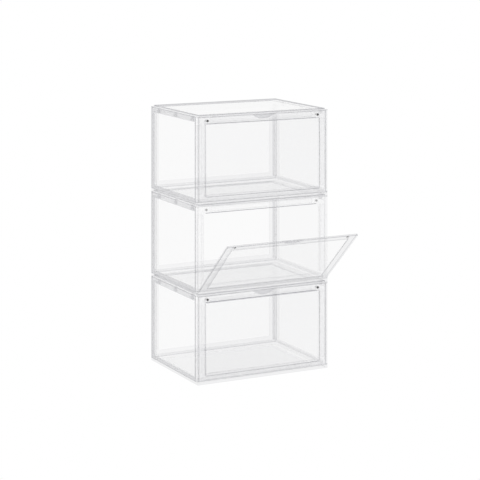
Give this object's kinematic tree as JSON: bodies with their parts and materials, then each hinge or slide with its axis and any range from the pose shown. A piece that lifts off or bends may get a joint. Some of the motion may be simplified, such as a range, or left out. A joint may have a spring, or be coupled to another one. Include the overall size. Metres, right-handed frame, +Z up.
{
  "type": "shoe box",
  "caption": "Clear stackable shoe storage boxes with frosted borders, a full-height drop-down front door each, a crescent finger pull and magnetic corner catches.",
  "frame": {"origin": "centre of the lowest box's underside", "axes": "+Z up, the doors face -Y, +X to the right as seen from the front"},
  "size_m": [0.36, 0.4219, 0.6478],
  "materials": {
    "clear_plastic": "clear moulded plastic, glossy",
    "frosted_plastic": "clear plastic with a fine frosted texture",
    "magnet_metal": "dark plated magnet",
    "cap_plastic": "white plastic"
  },
  "bodies": {
    "lower_box": {"lower_base_tray": "frosted_plastic", "lower_top_panel": "clear_plastic", "lower_left_panel": "clear_plastic", "lower_right_panel": "clear_plastic", "lower_back_panel": "clear_plastic", "lower_front_frame": "frosted_plastic", "lower_left_frame_magnet": "magnet_metal", "lower_right_frame_magnet": "magnet_metal"},
    "lower_door_body": {"lower_door": "clear_plastic", "lower_left_door_magnet": "magnet_metal", "lower_right_door_magnet": "magnet_metal", "lower_left_magnet_cap": "cap_plastic", "lower_right_magnet_cap": "cap_plastic"},
    "middle_box": {"middle_base_tray": "frosted_plastic", "middle_top_panel": "clear_plastic", "middle_left_panel": "clear_plastic", "middle_right_panel": "clear_plastic", "middle_back_panel": "clear_plastic", "middle_front_frame": "frosted_plastic", "middle_left_frame_magnet": "magnet_metal", "middle_right_frame_magnet": "magnet_metal"},
    "middle_door_body": {"middle_door": "clear_plastic", "middle_left_door_magnet": "magnet_metal", "middle_right_door_magnet": "magnet_metal", "middle_left_magnet_cap": "cap_plastic", "middle_right_magnet_cap": "cap_plastic"},
    "upper_box": {"upper_base_tray": "frosted_plastic", "upper_top_panel": "clear_plastic", "upper_left_panel": "clear_plastic", "upper_right_panel": "clear_plastic", "upper_back_panel": "clear_plastic", "upper_front_frame": "frosted_plastic", "upper_left_frame_magnet": "magnet_metal", "upper_right_frame_magnet": "magnet_metal"},
    "upper_door_body": {"upper_door": "clear_plastic", "upper_left_door_magnet": "magnet_metal", "upper_right_door_magnet": "magnet_metal", "upper_left_magnet_cap": "cap_plastic", "upper_right_magnet_cap": "cap_plastic"}
  },
  "joints": [
    {"name": "lower_door_hinge", "type": "hinge", "parent": "lower_box", "child": "lower_door_body", "pos_m": [0, -0.1325, 0.0098], "axis": [1, 0, 0], "range_deg": [0, 90]},
    {"name": "middle_door_hinge", "type": "hinge", "parent": "middle_box", "child": "middle_door_body", "pos_m": [0, -0.1325, 0.2247], "axis": [1, 0, 0], "range_deg": [-49, 41]},
    {"name": "upper_door_hinge", "type": "hinge", "parent": "upper_box", "child": "upper_door_body", "pos_m": [0, -0.1325, 0.4396], "axis": [1, 0, 0], "range_deg": [0, 90]},
    {"name": "middle_box_lift", "type": "slide", "parent": "lower_box", "child": "middle_box", "axis": [0, 0, 1], "range_m": [0, 0.08]},
    {"name": "upper_box_lift", "type": "slide", "parent": "middle_box", "child": "upper_box", "axis": [0, 0, 1], "range_m": [0, 0.08]}
  ]
}
